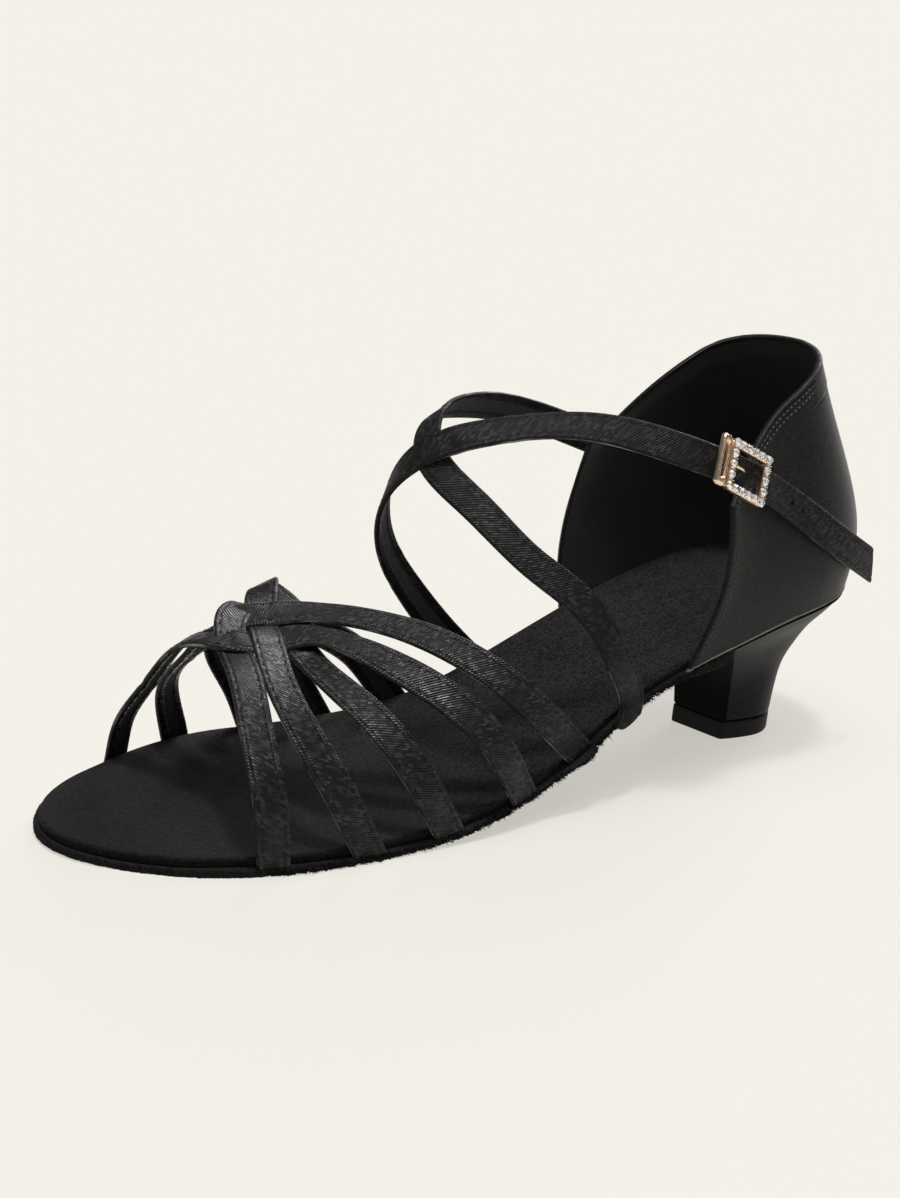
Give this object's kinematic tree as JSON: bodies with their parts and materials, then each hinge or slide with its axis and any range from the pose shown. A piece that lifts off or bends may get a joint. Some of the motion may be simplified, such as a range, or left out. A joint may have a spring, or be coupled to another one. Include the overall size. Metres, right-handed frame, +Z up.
{
  "type": "dance sandal",
  "caption": "Left open-toe dance sandal in black satin: straps woven over the ball, crossed instep straps with a jewelled buckle, closed heel counter and low flared heel.",
  "frame": {"origin": "on the floor, under the middle of the shoe's overall length and width", "axes": "+X towards the back of the heel, so the toe is at -X; +Y towards the inner side of the foot, so the buckle is at -Y; +Z up from the floor"},
  "size_m": [0.2376, 0.0804, 0.1091],
  "materials": {
    "black_satin": "satin weave, soft sheen",
    "black_suede": "suede nap, matte",
    "black_rubber": "matte",
    "rose_gold": "polished plating",
    "clear_stone": "faceted, clear"
  },
  "bodies": {
    "root": {"outsole": "black_suede", "insole": "black_suede", "heel_block": "black_satin", "heel_tip": "black_rubber", "counter": "black_satin", "vamp_straps": "black_satin", "instep_straps": "black_satin", "buckle_frame": "rose_gold", "buckle_keeper": "rose_gold", "buckle_prong": "rose_gold", "buckle_stone_01": "clear_stone", "buckle_stone_02": "clear_stone", "buckle_stone_03": "clear_stone", "buckle_stone_04": "clear_stone", "buckle_stone_05": "clear_stone", "buckle_stone_06": "clear_stone", "buckle_stone_07": "clear_stone", "buckle_stone_08": "clear_stone", "buckle_stone_09": "clear_stone", "buckle_stone_10": "clear_stone", "buckle_stone_11": "clear_stone", "buckle_stone_12": "clear_stone", "buckle_stone_13": "clear_stone", "buckle_stone_14": "clear_stone", "buckle_stone_15": "clear_stone", "buckle_stone_16": "clear_stone", "buckle_stone_17": "clear_stone", "buckle_stone_18": "clear_stone"}
  },
  "joints": []
}
